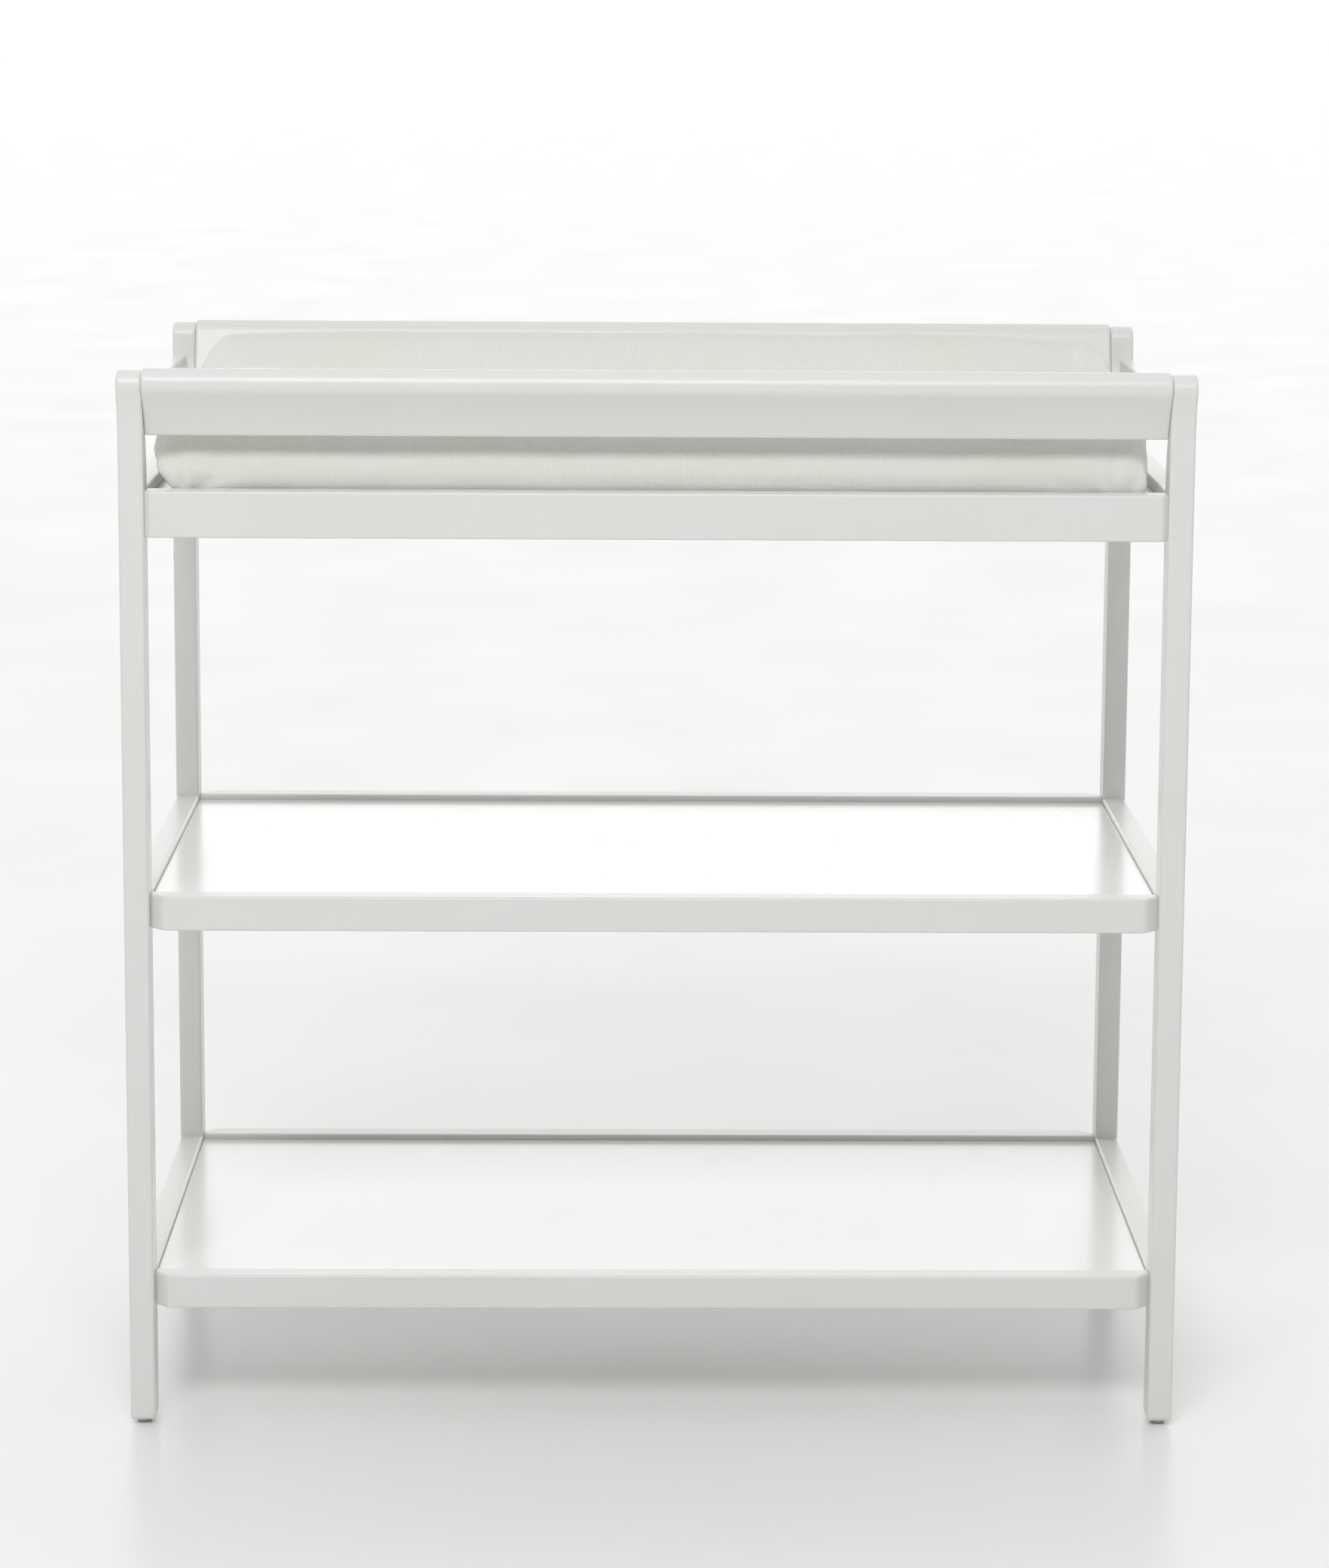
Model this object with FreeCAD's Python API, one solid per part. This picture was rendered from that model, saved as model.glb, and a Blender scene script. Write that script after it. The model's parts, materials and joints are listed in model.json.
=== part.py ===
# Changing table: a painted hardwood stand with a railed tray on top, two open shelves below
# and a contoured pad that lies in the tray and lifts out.  All sizes are in millimetres.
# +Z is up, the front faces -Y and +X is to the right.  The origin is on the floor, under the
# middle of the stand.
import FreeCAD, Part
import math
import os

V = FreeCAD.Vector

# ---- driving dimensions ---------------------------------------------------------------------
WIDTH = 890.0             # over the outer faces of the legs
DEPTH = 464.0             # over the front and back faces of the legs
LEG_TOP = 904.0           # top of the leg scrolls above the floor
LEG_WIDTH = 21.0          # leg size along X
LEG_DEPTH = 30.0          # leg size along Y, up to the tray
LEG_FOOT_ROUND = 5.0      # round at the front and back of a leg's foot
SCROLL_RADIUS = 12.0      # nose of the leg's outward scroll
SCROLL_SET_BACK = 2.5     # scroll centre behind the leg's outer face
SCROLL_RISE = 44.0        # height of the sweep from the straight face to the scroll centre
EDGE_ROUND = 2.5          # eased edges of legs and rails

ROLL_RADIUS = 12.5        # rolled top edge of the front and back top rails
TOP_RAIL_TOP = 906.0
TOP_RAIL_BOTTOM = 849.0
TOP_RAIL_INSET = 12.0     # lower edge of the rail's outer face behind the leg's outer face
TOP_RAIL_FOOT = 16.0      # rail thickness at its lower edge
TOP_RAIL_HOLLOW = 150.0   # radius of the hollow outer face

APRON_THICKNESS = 22.0
APRON_EASE = 2.0
SHELVES = {               # name: (underside of the aprons, top of the aprons, drop to the panel)
    "tray": (765.0, 804.0, 10.0),
    "middle": (432.5, 462.0, 5.0),
    "lower": (104.0, 133.0, 5.0),
}
APRON_FACET = {"tray": 5.0, "middle": 12.0, "lower": 12.0}  # 45 degree facet at an apron's ends
FACET_BLEND = 0.6         # radius between facet and face, as a share of the facet
PANEL_THICKNESS = 9.0
PANEL_GAP = 0.5           # slack round each panel
CLEAT = 12.0              # square section of the cleats under the panels
CLEAT_END_GAP = 30.0      # from a cleat's end to the leg

SIDE_BAR_WIDTH = 12.5     # top side rails, flush with the outer faces of the legs
SIDE_BAR_BOTTOM = 861.0
SIDE_BAR_TOP = 875.0

GLIDE_HEIGHT = 4.5
GLIDE_RADIUS = 6.7
GLIDE_ROUND = 2.2
NAIL_RADIUS = 1.0
NAIL_LENGTH = 14.0

BOLT_RADIUS = 3.0
BOLT_LENGTH = 62.0        # under the head
BOLT_HEAD_RADIUS = 7.0
BOLT_HEAD_HEIGHT = 3.0
BOLT_SOCKET = 4.0         # across the flats of the hex socket
NUT_RADIUS = 5.0
NUT_LENGTH = 12.0
NUT_FROM_LEG = 36.0       # barrel nut axis from the end of the rail
BOLT_FROM_FACE = 17.0     # bolt axis behind an apron's outer face, clear of the end facets
BOLT_ABOVE_MIDDLE = 4.0
DOWEL_BELOW_MIDDLE = 8.0
DOWEL_RADIUS = 3.0
DOWEL_IN_LEG = 12.0
SIDE_DOWEL_IN_LEG = 8.0
DOWEL_IN_RAIL = 24.0
SCREW_RADIUS = 1.75
SCREW_HEAD_RADIUS = 3.5
SCREW_LENGTH = 26.0       # cleat to apron
PANEL_SCREW_LENGTH = 17.0 # up through a cleat into its panel
SCREWS_PER_CLEAT = 4      # into the apron; one fewer go up into the panel, between them
SCREW_SPACING = 236.0
FIT = 0.15                # radial slack round bolts, nuts, dowels and screws

PAD_LEFT = -428.0         # the pad lies slightly to the left in the tray
PAD_RIGHT = 417.0
PAD_WIDTH = 400.0
PAD_BACK_CREST = 109.0    # height of the raised long side at the back
PAD_FRONT_CREST = 102.0   # the front one is pressed a little flatter
PAD_TROUGH = 64.0         # height of the middle of the pad
PAD_WIDEST = 38.0         # height where the pad is widest
PAD_CORNER = 36.0         # plan radius of the corners
PAD_COVER = 3.0           # cover and wadding round the foam
PAD_REST_GAP = 0.3

# ---- places worked out from the dimensions ----------------------------------------------------
LEFT = -WIDTH / 2
FRONT = -DEPTH / 2
RAIL_LEFT = LEFT + LEG_WIDTH
RAIL_LENGTH = WIDTH - 2 * LEG_WIDTH
SIDE_FRONT = FRONT + LEG_DEPTH
SIDE_LENGTH = DEPTH - 2 * LEG_DEPTH
LEG_AXIS_X = LEFT + LEG_WIDTH / 2
BOLT_Y = FRONT + BOLT_FROM_FACE
SCROLL_Z = LEG_TOP - SCROLL_RADIUS
ROLL_Z = TOP_RAIL_TOP - ROLL_RADIUS

# Each level's bolt and dowel in the front left corner, as (Y, Z).
BOLT_AT = {"top": (FRONT + 4.0, ROLL_Z - 8.5)}
DOWEL_AT = {"top": (FRONT + 15.5, TOP_RAIL_BOTTOM + 9.0)}
for name, (under, top, drop) in SHELVES.items():
    middle = (under + top) / 2
    BOLT_AT[name] = (BOLT_Y, middle + BOLT_ABOVE_MIDDLE)
    DOWEL_AT[name] = (BOLT_Y, middle - DOWEL_BELOW_MIDDLE)


# ---- small helpers ----------------------------------------------------------------------------
def cylinder(radius, length, base, direction):
    return Part.makeCylinder(radius, length, base, direction)


def box(low, high):
    size = high - low
    return Part.makeBox(size.x, size.y, size.z, low)


def arc(centre, radius, start, end):
    """Arc in the YZ plane, from angle start to angle end in degrees, counted from +Y to +Z."""
    def at(angle):
        turn = math.radians(angle)
        return centre + V(0, radius * math.cos(turn), radius * math.sin(turn))
    return Part.Arc(at(start), at((start + end) / 2), at(end)).toShape(), at(start), at(end)


def outline(pieces):
    """Closed face from arcs and corner points; straight edges fill the gaps in the order given."""
    edges = []
    ends = [(p, p) if isinstance(p, FreeCAD.Vector) else (p[1], p[2]) for p in pieces]
    for index, piece in enumerate(pieces):
        if not isinstance(piece, FreeCAD.Vector):
            edges.append(piece[0])
        here = ends[index][1]
        following = ends[(index + 1) % len(pieces)][0]
        if here.distanceToPoint(following) > 1e-6:
            edges.append(Part.makeLine(here, following))
    return Part.Face(Part.Wire(Part.__sortEdges__(edges)))


def ease(shape, radius, chosen):
    """Round the edges for which chosen(edge) is true."""
    return shape.makeFillet(radius, [edge for edge in shape.Edges if chosen(edge)])


def lies_at_x(*places):
    """Test for edges that lie wholly in one of the planes X = place."""
    def test(edge):
        bounds = edge.BoundBox
        return any(abs(bounds.XMin - x) < 1e-4 and abs(bounds.XMax - x) < 1e-4 for x in places)
    return test


def runs_along(axis):
    """Test for straight edges along "X", "Y" or "Z"."""
    def test(edge):
        spans = {"X": edge.BoundBox.XLength, "Y": edge.BoundBox.YLength, "Z": edge.BoundBox.ZLength}
        along = spans.pop(axis)
        return along > 1e-3 and max(spans.values()) < 1e-4
    return test


def mirrored_x(shape):
    return shape.mirror(V(0, 0, 0), V(1, 0, 0))


def mirrored_y(shape):
    return shape.mirror(V(0, 0, 0), V(0, 1, 0))


def four_corners(shape):
    """The front left shape repeated at the front right, back left and back right."""
    right = mirrored_x(shape)
    return {"front_left": shape, "front_right": right,
            "back_left": mirrored_y(shape), "back_right": mirrored_y(right)}


# ---- legs -------------------------------------------------------------------------------------
def tangent_sweep(radius, reach, rise):
    """Radius and turn of an arc that leaves a vertical face and meets a circle smoothly."""
    span = (reach * reach + rise * rise) / (2 * reach)
    return span - radius, math.degrees(math.asin(rise / span))


def leg_blank():
    """The front left leg with sharp edges and no holes."""
    nose = V(LEFT, FRONT + SCROLL_SET_BACK, SCROLL_Z)
    reach = SCROLL_RADIUS - SCROLL_SET_BACK
    sweep_radius, sweep_turn = tangent_sweep(SCROLL_RADIUS, reach, SCROLL_RISE)
    sweep = arc(V(LEFT, FRONT - sweep_radius, SCROLL_Z - SCROLL_RISE), sweep_radius, 0, sweep_turn)
    scroll = arc(nose, SCROLL_RADIUS, 180 + sweep_turn, 0)

    # The inner face swells from the scroll to the full depth just above the tray.
    tray_top = SHELVES["tray"][1] + 2.0
    across = LEG_DEPTH - SCROLL_SET_BACK - SCROLL_RADIUS
    down = SCROLL_Z - tray_top
    turn = 2 * math.degrees(math.atan(across / down))
    swell = down / (2 * math.sin(math.radians(turn)))
    upper = arc(scroll[2] + V(0, swell, 0), swell, 180, 180 + turn)
    lower = arc(V(LEFT, FRONT + LEG_DEPTH - swell, tray_top), swell, turn, 0)

    foot = LEG_FOOT_ROUND
    back_foot = arc(V(LEFT, FRONT + LEG_DEPTH - foot, GLIDE_HEIGHT + foot), foot, 0, -90)
    front_foot = arc(V(LEFT, FRONT + foot, GLIDE_HEIGHT + foot), foot, 270, 180)
    profile = outline([sweep, scroll, upper, lower, back_foot, front_foot])
    return profile.extrude(V(LEG_WIDTH, 0, 0))


def leg():
    """The front left leg, eased and drilled."""
    body = ease(leg_blank(), EDGE_ROUND, lies_at_x(LEFT, LEFT + LEG_WIDTH))
    for level in BOLT_AT:
        body = body.cut(bolt(level, FIT)).cut(rail_dowel(level, FIT))
        for dowel in side_dowels(level, FIT):
            body = body.cut(dowel)
    return body.cut(glide_nail(FIT))


# ---- fasteners, all for the front left corner ----------------------------------------------------
def bolt(level, slack=0.0):
    """Flush bolt through the leg into a rail, which at the top is a connector screw that
    bites into the end of the rail; with slack it is the hole for it."""
    y, z = BOLT_AT[level]
    head = cylinder(BOLT_HEAD_RADIUS + slack, BOLT_HEAD_HEIGHT + slack, V(LEFT, y, z), V(1, 0, 0))
    shank = cylinder(BOLT_RADIUS + slack, BOLT_HEAD_HEIGHT + BOLT_LENGTH, V(LEFT, y, z), V(1, 0, 0))
    if slack:
        return head.fuse(shank)
    corner = BOLT_SOCKET / 2 / math.cos(math.radians(30))
    hexagon = [V(LEFT, y + corner * math.cos(math.radians(60 * k)),
                 z + corner * math.sin(math.radians(60 * k))) for k in range(7)]
    socket = Part.Face(Part.makePolygon(hexagon)).extrude(V(BOLT_HEAD_HEIGHT - 0.6, 0, 0))
    return head.fuse(shank).cut(socket)


def barrel_nut(level, slack=0.0):
    """Cross dowel nut in an apron, on the bolt's axis; with slack it is the blind hole for it."""
    y, z = BOLT_AT[level]
    start = V(RAIL_LEFT + NUT_FROM_LEG, FRONT + APRON_THICKNESS - 1.0 - NUT_LENGTH, z)
    if slack:
        return cylinder(NUT_RADIUS + slack, APRON_THICKNESS * 2, start - V(0, slack, 0), V(0, 1, 0))
    barrel = cylinder(NUT_RADIUS, NUT_LENGTH, start, V(0, 1, 0))
    return barrel.cut(bolt(level, FIT))


def rail_dowel(level, slack=0.0):
    """Locating dowel between a leg and the end of a rail."""
    y, z = DOWEL_AT[level]
    start = V(RAIL_LEFT - DOWEL_IN_LEG - slack, y, z)
    return cylinder(DOWEL_RADIUS + slack, DOWEL_IN_LEG + DOWEL_IN_RAIL + 2 * slack, start, V(1, 0, 0))


def side_dowels(level, slack=0.0):
    """Dowels between the back of the front left leg and the left side rail."""
    if level == "top":
        places = [(LEFT + SIDE_BAR_WIDTH / 2, (SIDE_BAR_BOTTOM + SIDE_BAR_TOP) / 2)]
        joint = FRONT + 18.0
    else:
        under, top, drop = SHELVES[level]
        quarter = (top - under) / 4
        places = [(LEG_AXIS_X, (under + top) / 2 + side * quarter) for side in (-1, 1)]
        joint = SIDE_FRONT
    length = SIDE_DOWEL_IN_LEG + DOWEL_IN_RAIL
    return [cylinder(DOWEL_RADIUS + slack, length + 2 * slack,
                     V(x, joint - SIDE_DOWEL_IN_LEG - slack, z), V(0, 1, 0)) for x, z in places]


def glide_nail(slack=0.0):
    base = V(LEG_AXIS_X, FRONT + LEG_DEPTH / 2, GLIDE_HEIGHT - 1.0)
    return cylinder(NAIL_RADIUS + slack, NAIL_LENGTH + 1.0 + slack, base, V(0, 0, 1))


def glide():
    """Nail-on floor glide: a flat plastic disc with a rounded rim, on a nail."""
    disc = cylinder(GLIDE_RADIUS, GLIDE_HEIGHT, V(LEG_AXIS_X, FRONT + LEG_DEPTH / 2, 0), V(0, 0, 1))
    disc = ease(disc, GLIDE_ROUND, lambda edge: edge.BoundBox.ZMax < 1e-4)
    return disc.fuse(glide_nail())


def screw(base, direction, length):
    """Countersunk wood screw whose head face is at base."""
    head = Part.makeCone(SCREW_HEAD_RADIUS, SCREW_RADIUS, SCREW_HEAD_RADIUS - SCREW_RADIUS, base, direction)
    return head.fuse(cylinder(SCREW_RADIUS, length, base, direction))


def screw_hole(base, direction, length):
    head = Part.makeCone(SCREW_HEAD_RADIUS + FIT, SCREW_RADIUS + FIT,
                         SCREW_HEAD_RADIUS - SCREW_RADIUS, base, direction)
    return head.fuse(cylinder(SCREW_RADIUS + FIT, length + FIT, base, direction))


# ---- rails and aprons, all at the front ------------------------------------------------------------
def drilled(rail, holes):
    """The holes at the left end of a front rail, and the same at its right end."""
    for hole in holes:
        rail = rail.cut(hole).cut(mirrored_x(hole))
    return rail


def top_rail():
    """Sleigh-shaped rail: a hollow outer face that leans outward under a rolled top edge."""
    roll = V(RAIL_LEFT, FRONT, ROLL_Z)
    outer_foot = V(RAIL_LEFT, FRONT + TOP_RAIL_INSET, TOP_RAIL_BOTTOM)
    inner_foot = outer_foot + V(0, TOP_RAIL_FOOT, 0)

    # Centre of the hollow: it touches the roll from outside and passes through the outer foot.
    to_roll = roll - outer_foot
    reach = TOP_RAIL_HOLLOW + ROLL_RADIUS
    along = (TOP_RAIL_HOLLOW ** 2 - reach ** 2 + to_roll.Length ** 2) / (2 * to_roll.Length)
    off = math.sqrt(TOP_RAIL_HOLLOW ** 2 - along ** 2)
    unit = V(to_roll).normalize()
    hollow = outer_foot + unit * along + V(0, -unit.z, unit.y) * off
    turn_foot = math.degrees(math.atan2(outer_foot.z - hollow.z, outer_foot.y - hollow.y))
    turn_roll = math.degrees(math.atan2(roll.z - hollow.z, roll.y - hollow.y))
    face = arc(hollow, TOP_RAIL_HOLLOW, turn_foot, turn_roll)

    # The inner face is the plane from the inner foot that touches the roll.
    away = roll - inner_foot
    lean = math.degrees(math.atan2(away.z, away.y) - math.asin(ROLL_RADIUS / away.Length))
    roll_arc = arc(roll, ROLL_RADIUS, 180 + turn_roll, lean - 90)
    profile = outline([face, roll_arc, inner_foot])
    rail = profile.extrude(V(RAIL_LENGTH, 0, 0))
    rail = ease(rail, EDGE_ROUND, lambda edge: runs_along("X")(edge)
                and edge.BoundBox.ZMax < TOP_RAIL_BOTTOM + 1e-3)
    rail = ease(rail, EDGE_ROUND, lies_at_x(RAIL_LEFT, -RAIL_LEFT))
    return drilled(rail, [bolt("top", FIT), rail_dowel("top", FIT)])


def apron(level):
    """Front apron of a shelf: facets at its ends turn the outer face in to the legs."""
    under, top, drop = SHELVES[level]
    facet = APRON_FACET[level]
    back = FRONT + APRON_THICKNESS
    left_half = [V(RAIL_LEFT, back, under), V(RAIL_LEFT, FRONT + facet, under),
                 V(RAIL_LEFT + facet, FRONT, under)]
    corners = left_half + [V(-p.x, p.y, p.z) for p in reversed(left_half)]
    plan = Part.Face(Part.makePolygon(corners + corners[:1]))
    board = plan.extrude(V(0, 0, top - under))
    board = ease(board, facet * FACET_BLEND, lambda edge: runs_along("Z")(edge)
                 and edge.BoundBox.YMax < FRONT + 1e-3)
    board = ease(board, APRON_EASE, lambda edge: edge.BoundBox.ZLength < 1e-4)
    for base in cleat_screw_bases(level):
        board = board.cut(screw_hole(base, V(0, -1, 0), SCREW_LENGTH))
    return drilled(board, [bolt(level, FIT), barrel_nut(level, FIT), rail_dowel(level, FIT)])


def side_rail(level):
    """Left side rail of a shelf, between the front and back legs."""
    under, top, drop = SHELVES[level]
    bar = box(V(LEFT, SIDE_FRONT, under), V(LEFT + LEG_WIDTH, SIDE_FRONT + SIDE_LENGTH, top))
    bar = ease(bar, APRON_EASE, runs_along("Y"))
    for dowel in side_dowels(level, FIT):
        bar = bar.cut(dowel).cut(mirrored_y(dowel))
    return bar


def side_bar(blank):
    """Slim left side rail at the top, cut to the inner curve of the legs."""
    bar = box(V(LEFT, FRONT, SIDE_BAR_BOTTOM), V(LEFT + SIDE_BAR_WIDTH, -FRONT, SIDE_BAR_TOP))
    bar = ease(bar, APRON_EASE, runs_along("Y"))
    bar = bar.cut(blank).cut(mirrored_y(blank))
    bar = max(bar.Solids, key=lambda solid: solid.Volume)
    for dowel in side_dowels("top", FIT):
        bar = bar.cut(dowel).cut(mirrored_y(dowel))
    return bar


# ---- shelf panels and their cleats ------------------------------------------------------------------
def panel_under(level):
    under, top, drop = SHELVES[level]
    return top - drop - PANEL_THICKNESS


def even_stations(count):
    """X places of a row of screws along a cleat, the same distance apart and centred."""
    return [SCREW_SPACING * (k - (count - 1) / 2) for k in range(count)]


def cleat_screw_bases(level):
    z = panel_under(level) - CLEAT / 2
    y = FRONT + APRON_THICKNESS + CLEAT
    return [V(x, y, z) for x in even_stations(SCREWS_PER_CLEAT)]


def panel_screw_bases(level):
    z = panel_under(level) - CLEAT
    y = FRONT + APRON_THICKNESS + CLEAT / 2
    return [V(x, y, z) for x in even_stations(SCREWS_PER_CLEAT - 1)]


def cleat(level):
    """Front cleat: screwed to the back of the apron, it carries the edge of the panel."""
    top = panel_under(level)
    low = V(RAIL_LEFT + CLEAT_END_GAP, FRONT + APRON_THICKNESS, top - CLEAT)
    bar = box(low, V(-low.x, low.y + CLEAT, top))
    for base in cleat_screw_bases(level):
        bar = bar.cut(screw_hole(base, V(0, -1, 0), SCREW_LENGTH))
    for base in panel_screw_bases(level):
        bar = bar.cut(screw_hole(base, V(0, 0, 1), PANEL_SCREW_LENGTH))
    return bar


def panel(level):
    low = V(RAIL_LEFT + PANEL_GAP, FRONT + APRON_THICKNESS + PANEL_GAP, panel_under(level))
    board = box(low, V(-low.x, -low.y, low.z + PANEL_THICKNESS))
    for base in panel_screw_bases(level):
        hole = screw_hole(base, V(0, 0, 1), PANEL_SCREW_LENGTH)
        board = board.cut(hole).cut(mirrored_y(hole))
    return board


# ---- pad ---------------------------------------------------------------------------------------------
def rounded_prism(corners, extrusion):
    """Prism on a closed outline of straight runs; corners are (point, radius of its round)."""
    edges, ends = [], []
    for index, (point, radius) in enumerate(corners):
        back = (corners[index - 1][0] - point).normalize()
        onward = (corners[(index + 1) % len(corners)][0] - point).normalize()
        half_angle = back.getAngle(onward) / 2
        run = radius / math.tan(half_angle)
        inward = (back + onward).normalize()
        middle = point + inward * (radius / math.sin(half_angle) - radius)
        ends.append((point + back * run, point + onward * run))
        edges.append(Part.Arc(ends[-1][0], middle, ends[-1][1]).toShape())
    for index in range(len(corners)):
        edges.append(Part.makeLine(ends[index - 1][1], ends[index][0]))
    return Part.Face(Part.Wire(Part.__sortEdges__(edges))).extrude(extrusion)


def pad_body(inset):
    """The pad's closed form: raised long sides, a trough between them and full round ends."""
    half = PAD_WIDTH / 2 - inset
    left, right = PAD_LEFT + inset, PAD_RIGHT - inset
    base = SHELVES["tray"][1] - SHELVES["tray"][2] + PAD_REST_GAP
    low = base + inset
    widest = base + PAD_WIDEST
    trough = base + PAD_TROUGH - inset
    top = base + PAD_BACK_CREST - inset
    front_top = base + PAD_FRONT_CREST - inset

    # Across the pad, each side from its lower edge to the edge of the trough.
    def side(crest):
        return [(half - 6.0, low, 22.0 - inset), (half, widest, 80.0 - inset),
                (half - 13.0, crest, 30.0 - inset), (half - 68.0, crest, 40.0 - inset),
                (68.0 - inset, trough, 90.0 + inset)]

    corners = [(V(left, y, z), r) for y, z, r in side(top)]
    corners += [(V(left, -y, z), r) for y, z, r in reversed(side(front_top))]
    across = rounded_prism(corners, V(right - left, 0, 0))

    # Along the pad: the ends bulge at the widest height and round over at the top.
    def end(tuck, lean):
        return [(tuck, low, 18.0 - inset), (0.0, widest, 40.0 - inset), (lean, top, 42.0 - inset)]

    corners = [(V(right - x, -half, z), r) for x, z, r in end(9.0, 3.0)]
    corners += [(V(left + x, -half, z), r) for x, z, r in reversed(end(20.0, 7.0))]
    along = rounded_prism(corners, V(0, 2 * half, 0))

    plan = box(V(left, -half, low), V(right, half, top))
    plan = ease(plan, PAD_CORNER - inset, runs_along("Z"))
    return across.common(along).common(plan)


# ---- assembly -----------------------------------------------------------------------------------------
def build():
    nodes = {}
    for corner, shape in four_corners(leg()).items():
        nodes["leg_" + corner] = shape
    for corner, shape in four_corners(glide()).items():
        nodes["glide_" + corner] = shape

    nodes["top_rail_front"] = top_rail()
    nodes["top_rail_back"] = mirrored_y(nodes["top_rail_front"])
    nodes["top_side_rail_left"] = side_bar(leg_blank())
    nodes["top_side_rail_right"] = mirrored_x(nodes["top_side_rail_left"])

    for level in SHELVES:
        nodes[level + "_apron_front"] = apron(level)
        nodes[level + "_apron_back"] = mirrored_y(nodes[level + "_apron_front"])
        nodes[level + "_side_rail_left"] = side_rail(level)
        nodes[level + "_side_rail_right"] = mirrored_x(nodes[level + "_side_rail_left"])
        nodes[level + "_panel"] = panel(level)
        nodes[level + "_cleat_front"] = cleat(level)
        nodes[level + "_cleat_back"] = mirrored_y(nodes[level + "_cleat_front"])

        fixings = [screw(base, V(0, -1, 0), SCREW_LENGTH) for base in cleat_screw_bases(level)]
        nodes[level + "_cleat_screws"] = Part.makeCompound(fixings + [mirrored_y(s) for s in fixings])
        fixings = [screw(base, V(0, 0, 1), PANEL_SCREW_LENGTH) for base in panel_screw_bases(level)]
        nodes[level + "_panel_screws"] = Part.makeCompound(fixings + [mirrored_y(s) for s in fixings])

    for level in BOLT_AT:
        bolts = Part.makeCompound(list(four_corners(bolt(level)).values()))
        if level == "top":
            nodes["top_connector_screws"] = bolts
        else:
            nodes[level + "_bolts"] = bolts
            nuts = four_corners(barrel_nut(level)).values()
            nodes[level + "_barrel_nuts"] = Part.makeCompound(list(nuts))
        nodes[level + "_rail_dowels"] = Part.makeCompound(list(four_corners(rail_dowel(level)).values()))
        dowels = [copy for dowel in side_dowels(level) for copy in four_corners(dowel).values()]
        nodes[level + "_side_dowels"] = Part.makeCompound(dowels)

    nodes["pad_core"] = pad_body(PAD_COVER)
    nodes["pad_cover"] = pad_body(0.0).cut(nodes["pad_core"])
    return nodes


os.makedirs("parts", exist_ok=True)
for name, shape in build().items():
    shape.exportStep("parts/" + name + ".step")
    print(name, "solids", len(shape.Solids), "valid", shape.isValid(), "cm3", round(shape.Volume / 1000, 2))
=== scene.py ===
# %% [markdown]
# # A changing table
#
# The real thing is a white lacquered wooden stand with a railed tray on top and two open
# shelves under it. A contoured foam pad in a fitted cotton cover lies loose in the tray.
# The wooden parts come from the CAD model and keep their shapes; this script gives them
# their paint, and makes the soft pad, the floor, the light and the camera.

import json
import math

import bmesh
import bpy
import numpy as np
from mathutils import Matrix, Vector, noise


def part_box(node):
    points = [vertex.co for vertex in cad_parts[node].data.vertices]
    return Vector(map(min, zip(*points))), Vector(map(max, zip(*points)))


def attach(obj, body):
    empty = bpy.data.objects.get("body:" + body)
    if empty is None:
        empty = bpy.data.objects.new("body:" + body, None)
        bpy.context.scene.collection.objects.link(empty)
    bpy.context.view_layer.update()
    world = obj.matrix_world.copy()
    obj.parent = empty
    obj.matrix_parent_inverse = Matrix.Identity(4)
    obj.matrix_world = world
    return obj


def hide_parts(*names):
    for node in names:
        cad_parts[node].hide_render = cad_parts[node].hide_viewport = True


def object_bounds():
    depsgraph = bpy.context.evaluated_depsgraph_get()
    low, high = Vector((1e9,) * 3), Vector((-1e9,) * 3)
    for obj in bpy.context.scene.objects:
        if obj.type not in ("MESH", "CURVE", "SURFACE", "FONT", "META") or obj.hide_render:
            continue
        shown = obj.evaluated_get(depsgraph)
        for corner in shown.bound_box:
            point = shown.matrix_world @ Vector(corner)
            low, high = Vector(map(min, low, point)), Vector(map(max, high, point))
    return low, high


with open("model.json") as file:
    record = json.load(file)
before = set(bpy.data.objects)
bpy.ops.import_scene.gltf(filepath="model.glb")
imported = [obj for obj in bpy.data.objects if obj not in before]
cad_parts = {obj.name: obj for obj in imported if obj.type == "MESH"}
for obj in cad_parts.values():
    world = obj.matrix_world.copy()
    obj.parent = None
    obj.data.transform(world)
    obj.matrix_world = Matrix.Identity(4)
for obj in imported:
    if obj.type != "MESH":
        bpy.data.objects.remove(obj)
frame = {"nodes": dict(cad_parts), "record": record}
record = frame["record"]
cad_low, cad_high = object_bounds()
stand_size = cad_high - cad_low
print("CAD nodes:", len(frame["nodes"]), "size in metres:", tuple(round(s, 3) for s in stand_size))

# %% [markdown]
# ## A small language for finishes
#
# A finish in Blender is a graph of nodes, and much of it is plain arithmetic: add two
# patterns, cut one off, turn it round. Wiring each Math node by hand hides the idea, so a
# socket is wrapped in a class whose operators add the Math nodes. A recipe then reads
# like a sentence: roughness = 0.3 + haze * 0.1.

# %% Sockets that can be calculated with


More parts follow.
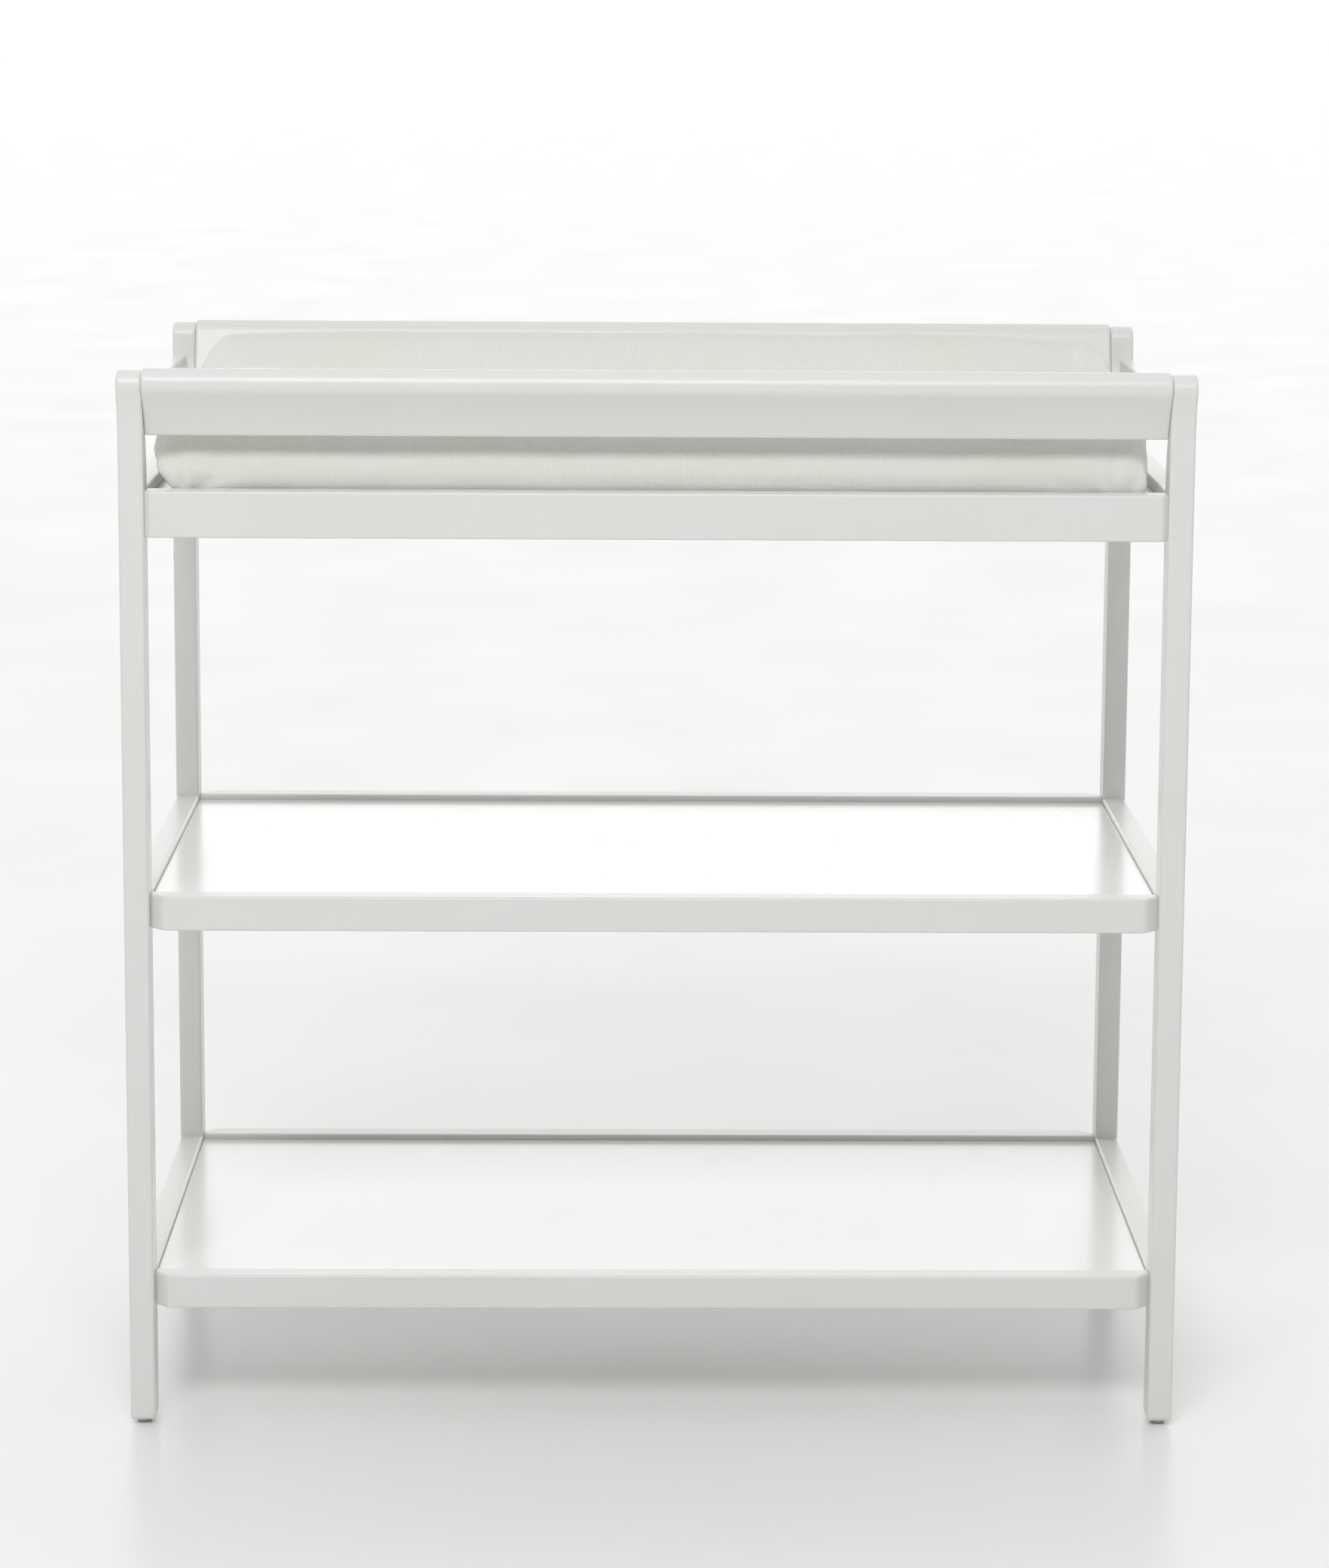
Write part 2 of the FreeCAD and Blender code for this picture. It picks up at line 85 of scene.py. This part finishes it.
class Wire:
    """The output socket of a node; sums, differences and products of wires add Math nodes."""

    def __init__(self, recipe, socket):
        self.recipe = recipe
        self.socket = socket

    def maths(self, operation, first, second=0.0):
        return self.recipe.add("ShaderNodeMath", {"operation": operation}, {0: first, 1: second})

    def __add__(self, other):
        return self.maths("ADD", self, other)

    def __radd__(self, other):
        return self.maths("ADD", other, self)

    def __sub__(self, other):
        return self.maths("SUBTRACT", self, other)

    def __rsub__(self, other):
        return self.maths("SUBTRACT", other, self)

    def __mul__(self, other):
        return self.maths("MULTIPLY", self, other)

    def __rmul__(self, other):
        return self.maths("MULTIPLY", other, self)

    def size(self):
        """The value without its sign."""
        return self.maths("ABSOLUTE", self)

    def wave(self, pitch):
        """A sine wave that repeats once in every pitch."""
        return self.maths("SINE", self * (2 * math.pi / pitch))

    def between(self, low, high):
        """0 at low and 1 at high, smoothly; high may be the smaller of the two."""
        ends = {"Value": self, "From Min": low, "From Max": high}
        return self.recipe.add("ShaderNodeMapRange", {"interpolation_type": "SMOOTHSTEP"}, ends)


class Recipe:
    """The node tree of a material, or of the world, under construction."""

    def __init__(self, owner, shader="Principled BSDF"):
        self.owner = owner
        owner.use_nodes = True
        self.tree = owner.node_tree
        self.shader = self.tree.nodes[shader]

    def add(self, kind, settings=None, inputs=None, output=0):
        """One node: its type, then its settings, then the values or wires of its sockets."""
        node = self.tree.nodes.new(kind)
        for name, value in (settings or {}).items():
            setattr(node, name, value)
        self.feed(node, inputs or {})
        return Wire(self, node.outputs[output])

    def feed(self, node, inputs):
        """Links wires to a node's sockets and sets plain values on them."""
        for name, value in inputs.items():
            if isinstance(value, Wire):
                self.tree.links.new(value.socket, node.inputs[name])
            else:
                node.inputs[name].default_value = value

    def place(self, stretch=(1, 1, 1), centre=(0, 0, 0), turn=(0, 0, 0)):
        """Object coordinates, in metres, stretched, moved and turned for a pattern."""
        here = self.add("ShaderNodeTexCoord", output="Object")
        return self.add("ShaderNodeMapping", {}, {"Vector": here, "Location": centre,
                                                  "Rotation": turn, "Scale": stretch})

    def parts(self, vector):
        """The x, y and z of a vector, as three wires."""
        split = self.add("ShaderNodeSeparateXYZ", {}, {0: vector}).socket.node
        return [Wire(self, split.outputs[k]) for k in range(3)]

    def noise(self, vector, scale, detail=2.0, roughness=0.5, distortion=0.0):
        return self.add("ShaderNodeTexNoise", {}, {"Vector": vector, "Scale": scale, "Detail": detail,
                                                   "Roughness": roughness, "Distortion": distortion})

    def mix(self, factor, first, second):
        """A colour between two, by factor."""
        node = self.tree.nodes.new("ShaderNodeMix")
        node.data_type = "RGBA"
        chosen = {s.identifier: s for s in node.inputs}
        for key, value in (("Factor_Float", factor), ("A_Color", first), ("B_Color", second)):
            if isinstance(value, Wire):
                self.tree.links.new(value.socket, chosen[key])
            else:
                chosen[key].default_value = value if key == "Factor_Float" else (*value[:3], 1.0)
        return Wire(self, next(s for s in node.outputs if s.identifier == "Result_Color"))

    def bump(self, height, depth, under=None):
        """A relief of the given depth in metres, on top of another one if there is one."""
        inputs = {"Height": height, "Distance": depth, "Strength": 1.0}
        if under is not None:
            inputs["Normal"] = under
        return self.add("ShaderNodeBump", {}, inputs)

    def finish(self, **sockets):
        """Sets the shader's sockets; an underscore in a name stands for a space."""
        self.feed(self.shader, {name.replace("_", " "): value for name, value in sockets.items()})
        return self.owner


def new_finish(name):
    return Recipe(bpy.data.materials.new(name))


print("recipes ready")

# %% [markdown]
# ## White lacquer on wood
#
# The legs, rails and aprons are solid hardwood under sprayed white lacquer. Three things
# make it read as lacquer and not as plain white. The spray dries with a faint orange peel.
# The grain of the wood telegraphs through as fine lines along each piece. On rounded edges
# the coat is thinner, so it is a touch warmer and duller there. A Bevel node gives a rounded
# normal, which differs from the true one at those edges only, so nothing has to be painted
# on. The lowest ten centimetres also have a few grey scuffs.

# %% Lacquer, with the grain along a chosen axis
LACQUER_WHITE = (0.815, 0.815, 0.80)
LACQUER_WARM = (0.775, 0.765, 0.73)
SCUFF_GREY = (0.60, 0.59, 0.57)
SCUFF_TOP = 0.10              # metres above the floor
ACROSS, ALONG = 1.0, 0.03     # the grain's lines are thirty times as long as they are wide


def worn_edges(recipe, radius):
    """1 on sharp and rounded edges, 0 on flat faces."""
    rounded = recipe.add("ShaderNodeBevel", {"samples": 4}, {"Radius": radius})
    true = recipe.add("ShaderNodeNewGeometry", output="Normal")
    alike = recipe.add("ShaderNodeVectorMath", {"operation": "DOT_PRODUCT"}, {0: rounded, 1: true},
                       output="Value")
    return (1 - alike).between(0.004, 0.10)


def lacquer(name, axis):
    recipe = new_finish(name)
    stretch = [ACROSS] * 3
    stretch["XYZ".index(axis)] = ALONG
    fibres = recipe.noise(recipe.place(stretch), 420.0, 3.0, 0.6)
    clouds = recipe.noise(recipe.place(), 7.0, 3.0)
    haze = recipe.noise(recipe.place(), 38.0, 4.0, 0.6)
    peel = recipe.noise(recipe.place(), 520.0, 1.0, 0.4)
    edges = worn_edges(recipe, 0.0025)

    low = recipe.parts(recipe.place())[2].between(SCUFF_TOP, 0.0)
    scuffs = recipe.noise(recipe.place((1, 1, 3)), 90.0, 5.0, 0.7).between(0.62, 0.75) * low

    body = recipe.mix(clouds.between(0.35, 0.75) * 0.35, LACQUER_WHITE, LACQUER_WARM)
    body = recipe.mix(fibres.between(0.55, 0.85) * 0.18, body, LACQUER_WARM)
    body = recipe.mix(edges * 0.45, body, LACQUER_WARM)
    body = recipe.mix(scuffs * 0.5, body, SCUFF_GREY)
    rough = 0.33 + haze * 0.10 + edges * 0.08 + scuffs * 0.25
    relief = recipe.bump(fibres, 0.00006, recipe.bump(peel, 0.00003))
    return recipe.finish(Base_Color=body, Roughness=rough, Normal=relief, IOR=1.5,
                         Coat_Weight=0.25, Coat_Roughness=0.28)


lacquers = {axis: lacquer("lacquer_grain_" + axis.lower(), axis) for axis in "XYZ"}
print("lacquers:", sorted(m.name for m in lacquers.values()))

# %% [markdown]
# ## Shelf boards and cleats
#
# The shelf boards are fibreboard with a rolled coat. Fibreboard has no grain, so only the
# roller's fine stipple shows, with a few soft marks where things have been put down. The
# pine cleats under them got one thin coat, and their grain and growth rings show through.

# %% Painted fibreboard
BOARD_WHITE = (0.85, 0.85, 0.835)
BOARD_SHADE = (0.82, 0.815, 0.795)


def rolled_board(name):
    recipe = new_finish(name)
    stipple = recipe.noise(recipe.place(), 800.0, 2.0, 0.6)
    clouds = recipe.noise(recipe.place(), 5.0, 3.0)
    rub = recipe.noise(recipe.place((1.0, 0.25, 1.0)), 60.0, 4.0, 0.65)
    edges = worn_edges(recipe, 0.0015)
    body = recipe.mix(clouds.between(0.4, 0.8) * 0.35, BOARD_WHITE, BOARD_SHADE)
    body = recipe.mix(edges * 0.4, body, LACQUER_WARM)
    rough = 0.24 + rub * 0.12 + edges * 0.1
    return recipe.finish(Base_Color=body, Roughness=rough, Normal=recipe.bump(stipple, 0.00004),
                         IOR=1.5, Coat_Weight=0.5, Coat_Roughness=0.15)


def thin_painted_pine(name):
    recipe = new_finish(name)
    rings = recipe.noise(recipe.place((0.05, 1, 1)), 160.0, 2.0, 0.5, 0.6)
    fibres = recipe.noise(recipe.place((0.02, 1, 1)), 900.0, 3.0, 0.6)
    body = recipe.mix(rings.between(0.45, 0.7) * 0.5, (0.79, 0.785, 0.76), (0.71, 0.69, 0.63))
    rough = 0.48 + fibres * 0.2
    relief = recipe.bump(fibres, 0.00012, recipe.bump(rings, 0.00015))
    return recipe.finish(Base_Color=body, Roughness=rough, Normal=relief)


board_paint = rolled_board("rolled_board_paint")
pine_paint = thin_painted_pine("thin_pine_paint")
print("board and pine:", board_paint.name, pine_paint.name)

# %% [markdown]
# ## Fittings
#
# The bolts and screws are zinc plated steel, with the cloudy bloom of the plating and fine
# scratches from front to back, which is across each bolt. The dowels are bare beech, and
# the floor glides are grey moulded nylon, dull and a little scuffed where they slide.

# %% Steel, beech and nylon


def zinc_steel(name):
    recipe = new_finish(name)
    spots = recipe.noise(recipe.place(), 260.0, 4.0, 0.65)
    scratch = recipe.noise(recipe.place((1, 0.06, 1)), 1800.0, 2.0, 0.6)
    body = recipe.mix(spots.between(0.4, 0.7), (0.60, 0.61, 0.63), (0.47, 0.48, 0.50))
    rough = 0.28 + spots * 0.18 + scratch * 0.08
    return recipe.finish(Base_Color=body, Roughness=rough, Metallic=1.0,
                         Normal=recipe.bump(scratch, 0.00002))


def bare_beech(name):
    recipe = new_finish(name)
    fibres = recipe.noise(recipe.place((0.05, 0.6, 1)), 700.0, 3.0, 0.6)
    body = recipe.mix(fibres.between(0.35, 0.7), (0.62, 0.43, 0.25), (0.49, 0.31, 0.16))
    return recipe.finish(Base_Color=body, Roughness=0.5 + fibres * 0.2, Normal=recipe.bump(fibres, 0.0001))


def glide_nylon(name):
    recipe = new_finish(name)
    grains = recipe.noise(recipe.place(), 1400.0, 2.0, 0.6)
    scuffs = recipe.noise(recipe.place((0.3, 1, 1)), 500.0, 4.0, 0.7).between(0.5, 0.75)
    near_floor = recipe.parts(recipe.place())[2].between(0.003, 0.0)
    body = recipe.mix(scuffs * near_floor, (0.55, 0.55, 0.54), (0.36, 0.35, 0.33))
    rough = 0.42 + grains * 0.12 + scuffs * near_floor * 0.2
    return recipe.finish(Base_Color=body, Roughness=rough, Normal=recipe.bump(grains, 0.00004))


steel = zinc_steel("zinc_steel")
beech = bare_beech("bare_beech")
nylon = glide_nylon("glide_nylon")
print("fittings:", steel.name, beech.name, nylon.name)

# %% [markdown]
# ## Painting the stand
#
# The CAD record already says which finish each piece takes, so a loop can paint them all.
# Only the lacquered pieces need a choice, because wood is cut so that its grain runs along
# the piece: up the legs, front to back in the side rails, and left to right in the rest.

# %% Every CAD node gets its finish


def grain_axis(node):
    if node.startswith("leg_"):
        return "Z"
    return "Y" if "side_rail" in node else "X"


by_slot = {"painted_board": board_paint, "painted_pine": pine_paint, "beech": beech,
           "zinc_steel": steel, "glide_plastic": nylon}
for part in record["subparts"]:
    node = part["node"]
    finish = by_slot.get(part["material_slot"], lacquers[grain_axis(node)])
    for slot in frame["nodes"][node].material_slots:
        slot.material = finish
print("painted", len(record["subparts"]), "nodes")

# %% [markdown]
# ## The pad's shape
#
# The pad is a foam block with a raised roll along each long side, in a cotton cover that
# is stretched over it like a fitted sheet. Foam pushes the cloth out everywhere and the
# cloth evens it out, which is what a cloth simulation with a little air pressure does. So
# the cover starts as the skin of the foam, remeshed into even squares, and is inflated
# for twenty frames. The movement is capped, because foam, unlike air, stops swelling.

# %% Skin of the foam, in even squares
COVER_SQUARE = 0.0062      # side of a square of the cover's mesh


def mesh_after_modifiers(thing):
    """The piece's mesh as its modifiers leave it, as a new mesh."""
    ready = thing.evaluated_get(bpy.context.evaluated_depsgraph_get())
    return bpy.data.meshes.new_from_object(ready)


def bake_modifiers(thing):
    """Keeps the shape that the modifiers give and removes them."""
    result = mesh_after_modifiers(thing)
    thing.modifiers.clear()
    thing.data = result


skin = bmesh.new()
skin.from_mesh(frame["nodes"]["pad_core"].data)
bmesh.ops.remove_doubles(skin, verts=skin.verts, dist=0.00001)
pad_mesh = bpy.data.meshes.new("pad_cover_cloth")
skin.to_mesh(pad_mesh)
skin.free()
pad_mesh.materials.clear()
pad = bpy.data.objects.new("pad_cover_cloth", pad_mesh)
bpy.context.scene.collection.objects.link(pad)

remesh = pad.modifiers.new("even squares", "REMESH")
remesh.mode = "VOXEL"
remesh.voxel_size = COVER_SQUARE
bake_modifiers(pad)
print("cover starts with", len(pad.data.vertices), "points")

# %% Inflate it


def points_of(mesh):
    flat = np.empty(len(mesh.vertices) * 3, np.float32)
    mesh.vertices.foreach_get("co", flat)
    return flat.reshape(-1, 3).astype(np.float64)


def set_points(mesh, points):
    mesh.vertices.foreach_set("co", points.astype(np.float32).ravel())
    mesh.update()


def normals_of(mesh):
    flat = np.empty(len(mesh.vertices) * 3, np.float32)
    mesh.vertex_normals.foreach_get("vector", flat)
    return flat.reshape(-1, 3).astype(np.float64)


COVER_SWELL = 0.0032       # the most that a point of the cover moves
AIR_PRESSURE = 4.0
LAST_FRAME = 20

start = points_of(pad.data)
cloth = pad.modifiers.new("cotton", "CLOTH")
cloth.settings.use_pressure = True
cloth.settings.uniform_pressure_force = AIR_PRESSURE
cloth.settings.effector_weights.gravity = 0.0
cloth.point_cache.frame_start, cloth.point_cache.frame_end = 1, LAST_FRAME
for number in range(1, LAST_FRAME + 1):
    bpy.context.scene.frame_set(number)
bake_modifiers(pad)
inflated = points_of(pad.data)
bpy.context.scene.frame_set(1)

moved = inflated - start
length = np.linalg.norm(moved, axis=1, keepdims=True)
cover = start + moved * np.minimum(1.0, COVER_SWELL / np.maximum(length, 1e-9))
set_points(pad.data, cover)
print("cover moved by", round(float(length.mean()) * 1000, 1), "mm on average before the cap")

# %% One finer level, so that folds have enough points
finer = pad.modifiers.new("finer", "SUBSURF")
finer.levels = finer.render_levels = 1
bake_modifiers(pad)
print("cover has", len(pad.data.polygons), "faces")

# %% [markdown]
# ## How the pad lies
#
# A foam pad is never as straight as its drawing. This one has a hump at the left of its
# front roll, its back roll sags and then peaks at the right, and its ends are tucked in
# where the fitted cover pulls on the foam. All of that is gentle, so each point is simply
# moved by a few millimetres, with smooth weights for how near it is to an end, to the
# front or back, or to the top. The weights multiply, which keeps each move in its place.
# Places along x and y are in metres here, and heights and moves in millimetres.

# %% Weights from 0 to 1 over the pad
pad_low, pad_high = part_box("pad_cover")
MM = 0.001


def ease(value, start, end):
    """0 at start and 1 at end, smoothly; end may be the smaller of the two."""
    part = np.clip((value - start) / (end - start), 0.0, 1.0)
    return part * part * (3.0 - 2.0 * part)


def bell(value, centre, low_side, high_side):
    """1 at the centre, falling off over one width below it and another above it."""
    width = np.where(value < centre, low_side, high_side)
    return np.exp(-((value - centre) / width) ** 2)


cover = points_of(pad.data)
x, y, z = cover.T.copy()
height = (z - pad_low.z) / MM                       # in millimetres above the tray
left, right = ease(x, -0.33, -0.42), ease(x, 0.33, 0.41)
front, back = ease(y, 0.06, -0.08), ease(y, -0.06, 0.08)
print("pad stands", round(float(height.max()), 1), "mm above the tray")

# %% Humps, tucks and sags
HUMP, SAG = 8.5, 4.0          # up at the left of the front roll, down at the right of the back
PEAK_SHARE = 0.7              # how much of the sag the peak takes back
FACE, BELLY = 4.0, 3.5        # how far the front stands past the drawing, and more at its foot
FACE_PULL = 0.9               # how firmly the lower front is drawn to that face

# Each pair of lists gives heights above the tray, and how far the end moves to the right there.
tuck_left_front = np.interp(height, [0, 12, 36, 54, 75, 100], [6, 5, -1, 4, 6, 6])
tuck_left_back = np.interp(height, [0, 60, 86, 100, 109], [7, 8, 8, 4, 0])
full_right_back = np.interp(height, [0, 60, 86, 98, 106, 110], [0, 0, 6, 11, 9, 3])
full_right_front = np.interp(height, [0, 14, 30], [3, 3, 0])
cover[:, 0] += MM * left * (front * tuck_left_front + back * tuck_left_back)
cover[:, 0] += MM * right * (front * full_right_front + back * full_right_back)

upper = ease(height, 62, 95)
hump = bell(x, -0.345, 0.035, 0.070) * ease(y, -0.03, -0.10)
peak = bell(x, 0.388, 0.012, 0.020)
sag = ease(x, 0.29, 0.38) * (1 - PEAK_SHARE * peak) * ease(y, 0.03, 0.10)
cover[:, 2] += MM * upper * (HUMP * hump - SAG * sag)

lower_front = ease(height, 1, 7) * ease(height, 45, 20) * ease(y, -0.15, -0.19)
face = pad_low.y - MM * (FACE + BELLY * ease(height, 30, 8))
cover[:, 1] += FACE_PULL * lower_front * (face - y)
print("humps, tucks and sags are in")

# %% [markdown]
# ## Creases, corner darts and the hem
#
# A fitted cover is cut from a flat sheet, so each corner has a dart, which is sewn from the
# hem to the roll. The seam draws the cloth in a little, and creases fan out from the lower
# corners, where there is more cloth than foam. Under the pad the cover ends in a hem, which
# stands proud of the liner inside it. All of these follow the surface, so the points move
# along its normals and not along x, y or z. The hem is calmer than the rest, and no point
# goes below the drawing's lowest one, because the pad lies flat on the tray.

# %% Creases and seams along the normals
DART_DEPTH, DART_HALF_WIDTH = 1.3 * MM, 3.2 * MM
CORNER_ROUND = 0.036
CREASES = 9                        # in a full turn of the fan
CREASE_DEPTH = 0.9 * MM
DEEP_CREASE_DEPTH = 1.5 * MM       # at the front left only
FAN_FOOT = 0.008                   # how far the fan's centre lies below the pad
SOFT_WAVES, FINE_WAVES = 1.1 * MM, 0.5 * MM
SOFT_PER_METRE, FINE_PER_METRE = 11.0, (22.0, 22.0, 60.0)
HEM_STEP = 1.6 * MM
HEM_WIDTH = 0.042                  # from the pad's edge inwards
HEM_CALM = 0.85                    # how much of the waves the hem takes away

set_points(pad.data, cover)
out = normals_of(pad.data)
x, y, z = cover.T.copy()
height = (z - pad_low.z) / MM
middle = (pad_low + pad_high) / 2
relief = np.array([noise.noise(Vector(p)) for p in cover * SOFT_PER_METRE]) * SOFT_WAVES
relief += np.array([noise.noise(Vector(p)) for p in cover * FINE_PER_METRE]) * FINE_WAVES

for corner_x in (pad_low.x, pad_high.x):
    for corner_y in (pad_low.y, pad_high.y):
        side_x = 1.0 if corner_x > middle.x else -1.0
        side_y = 1.0 if corner_y > middle.y else -1.0
        off_x = (corner_x - x) * side_x              # distances inwards from the corner
        off_y = (corner_y - y) * side_y
        near = ease(np.maximum(off_x, off_y), 0.075, 0.020)
        dart = np.exp(-((off_x - off_y) / math.sqrt(2) / DART_HALF_WIDTH) ** 2)
        relief -= DART_DEPTH * near * dart * ease(height, 84, 60) * ease(height, 0, 6)
        spread = np.arctan2(height * MM + FAN_FOOT, off_x + off_y - CORNER_ROUND * 0.6)
        phase = side_x * 1.3 + side_y * 0.7          # so that no two corners are alike
        fan = np.sin(spread * CREASES + phase)
        strength = DEEP_CREASE_DEPTH if (side_x, side_y) == (-1.0, -1.0) else CREASE_DEPTH
        reach = ease(off_x + off_y + height * MM, 0.150, 0.050)
        relief += strength * fan * reach * ease(height, 62, 30) * ease(height, 0, 5)

inset = np.minimum(np.minimum(x - pad_low.x, pad_high.x - x),
                   np.minimum(y - pad_low.y, pad_high.y - y))
under = ease(out[:, 2], -0.7, -0.95)
relief -= HEM_STEP * under * ease(inset, HEM_WIDTH, HEM_WIDTH + 0.008)
relief *= 1.0 - HEM_CALM * under * ease(inset, 0.05, 0.03)
cover += out * relief[:, None]
cover[:, 2] = np.maximum(cover[:, 2], pad_low.z)
set_points(pad.data, cover)
print("creases up to", round(float(np.abs(relief).max()) / MM, 1), "mm")

# %% [markdown]
# ## Woven cotton
#
# The cover is a soft white cotton. Seen close, threads go over and under each other about
# every millimetre, and here and there a thread is thicker than its neighbours. The weave
# has to follow the surface without an unwrapped map, because the cover was remeshed. So
# each axis gives one set of threads, which fades where the surface faces along that axis:
# the top then shows the threads of x and y, and the front shows those of x and z.

# %% Cotton, woven from three sets of threads
CLOTH_WHITE = (0.93, 0.93, 0.885)
CLOTH_CREAM = (0.90, 0.885, 0.805)
THREAD_PITCH = 0.0011


def woven_cotton(name):
    recipe = new_finish(name)
    clouds = recipe.noise(recipe.place(), 9.0, 3.0)
    slubs = recipe.noise(recipe.place((0.06, 1, 1)), 420.0, 3.0, 0.6)
    fuzz = recipe.noise(recipe.place(), 1500.0, 2.0, 0.7)
    facing = recipe.parts(recipe.add("ShaderNodeTexCoord", output="Normal"))
    threads = [place.wave(THREAD_PITCH) * (1 - out.size())
               for place, out in zip(recipe.parts(recipe.place()), facing)]
    weave = threads[0] + threads[1] + threads[2]
    body = recipe.mix(clouds.between(0.35, 0.75) * 0.45, CLOTH_WHITE, CLOTH_CREAM)
    body = recipe.mix(weave.between(0.2, -1.2) * 0.15, body, CLOTH_CREAM)
    relief = recipe.bump(fuzz, 0.0002, recipe.bump(slubs, 0.00025, recipe.bump(weave, 0.00012)))
    return recipe.finish(Base_Color=body, Roughness=0.85 + fuzz * 0.1, Normal=relief,
                         Sheen_Weight=0.25, Sheen_Roughness=0.5)


pad.data.materials.append(woven_cotton("woven_cotton"))
pad.data.shade_smooth()
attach(pad, "pad")
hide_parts("pad_core", "pad_cover")
print("pad rides on its body")

# %% [markdown]
# ## Floor
#
# The stand is shown on a plain white studio floor. A wide disc does for that. It is a
# little glossy, so that towards the horizon it mirrors the bright back wall and the two
# melt into one white, while the soft shadows round the legs still show.

# %% Floor
FLOOR_RADIUS = 60.0
ground = bmesh.new()
bmesh.ops.create_circle(ground, cap_ends=True, radius=FLOOR_RADIUS, segments=96)
floor_mesh = bpy.data.meshes.new("floor")
ground.to_mesh(floor_mesh)
ground.free()
floor = bpy.data.objects.new("floor", floor_mesh)
bpy.context.scene.collection.objects.link(floor)
recipe = new_finish("pale_floor")
shade = recipe.noise(recipe.place(), 3.0, 4.0)
floor_mesh.materials.append(recipe.finish(
    Base_Color=recipe.mix(shade, (0.92, 0.92, 0.91), (0.90, 0.90, 0.89)), Roughness=0.26 + shade * 0.08))
print("floor ready")

# %% [markdown]
# ## Light
#
# White things are shaped by what is around them. A product studio for white furniture has
# one large soft lamp in front and above, which gives the rolled edges and the pad their
# form, and a brightly lit back wall, which the glossy shelves mirror. The walls are made
# by the world: its brightness depends only on the direction, and the Wire class adds up
# the front, the sides, the roof and the back wall with its brighter foot.

# %% The walls of the studio
FRONT_LEVEL, ROOF_LEVEL = 0.20, 0.68     # brightness of the room in front and overhead
WALL_LEVEL, HORIZON_LEVEL = 0.47, 1.34    # of the back wall, and what its foot adds
SIDE_LEVEL = 0.30                         # of the walls at the left and the right
bpy.context.scene.view_settings.view_transform = "Standard"
sky = Recipe(bpy.data.worlds.new("studio"), "Background")
across, deep, high = sky.parts(sky.add("ShaderNodeTexCoord", output="Generated"))
back_wall = deep.between(0.1, 0.6) * (WALL_LEVEL + high.between(0.5, 0.25) * HORIZON_LEVEL)
sides = across.size().between(0.5, 0.95) * SIDE_LEVEL
room = deep.between(0.2, -0.6) * FRONT_LEVEL + high.between(0.5, 0.9) * ROOF_LEVEL + sides
bpy.context.scene.world = sky.finish(Color=(1.0, 1.0, 1.0, 1.0), Strength=back_wall + room)
print("foot of the back wall at", round(WALL_LEVEL + HORIZON_LEVEL, 2), "times white")

# %% The softbox
SOFTBOX_PLACE, SOFTBOX_AIM = Vector((-0.5, -3.6, 3.4)), Vector((0.0, 0.0, 0.75))
SOFTBOX_WIDTH, SOFTBOX_HEIGHT = 2.6, 1.1
SOFTBOX_POWER = 84.0          # watts
softbox_light = bpy.data.lights.new("softbox", "AREA")
softbox_light.shape = "RECTANGLE"
softbox_light.size, softbox_light.size_y = SOFTBOX_WIDTH, SOFTBOX_HEIGHT
softbox_light.energy = SOFTBOX_POWER
softbox = bpy.data.objects.new("softbox", softbox_light)
softbox.location = SOFTBOX_PLACE
softbox.rotation_euler = (SOFTBOX_AIM - SOFTBOX_PLACE).to_track_quat("-Z", "Y").to_euler()
bpy.context.scene.collection.objects.link(softbox)
print("softbox at", tuple(round(c, 2) for c in SOFTBOX_PLACE))

# %% [markdown]
# ## Camera
#
# The camera stands at chest height, almost straight in front. It looks down by nine
# degrees, which shows the top of each shelf, and its long lens keeps the far edges nearly
# as long as the near ones. The matrix is put together from the place and three turns, read
# from right to left: roll about the view, tilt down from level, then turn to the side.

# %% Camera
CAMERA_PLACE = (-0.031, -3.769, 1.250)
YAW, DOWN, ROLL = (math.radians(angle) for angle in (0.798, 8.961, 0.356))
camera_data = bpy.data.cameras.new("camera")
camera_data.sensor_width = 36.0
camera_data.lens = 98.99
camera_data.shift_x, camera_data.shift_y = -0.0089, -0.10
camera_data.clip_start, camera_data.clip_end = 0.05, 200.0
camera = bpy.data.objects.new("camera", camera_data)
bpy.context.scene.collection.objects.link(camera)
camera.matrix_world = (Matrix.Translation(CAMERA_PLACE)
                       @ Matrix.Rotation(-YAW, 4, "Z")
                       @ Matrix.Rotation(math.pi / 2 - DOWN, 4, "X")
                       @ Matrix.Rotation(ROLL, 4, "Z"))
bpy.context.scene.camera = camera
print("camera at", tuple(round(c, 3) for c in camera.location))
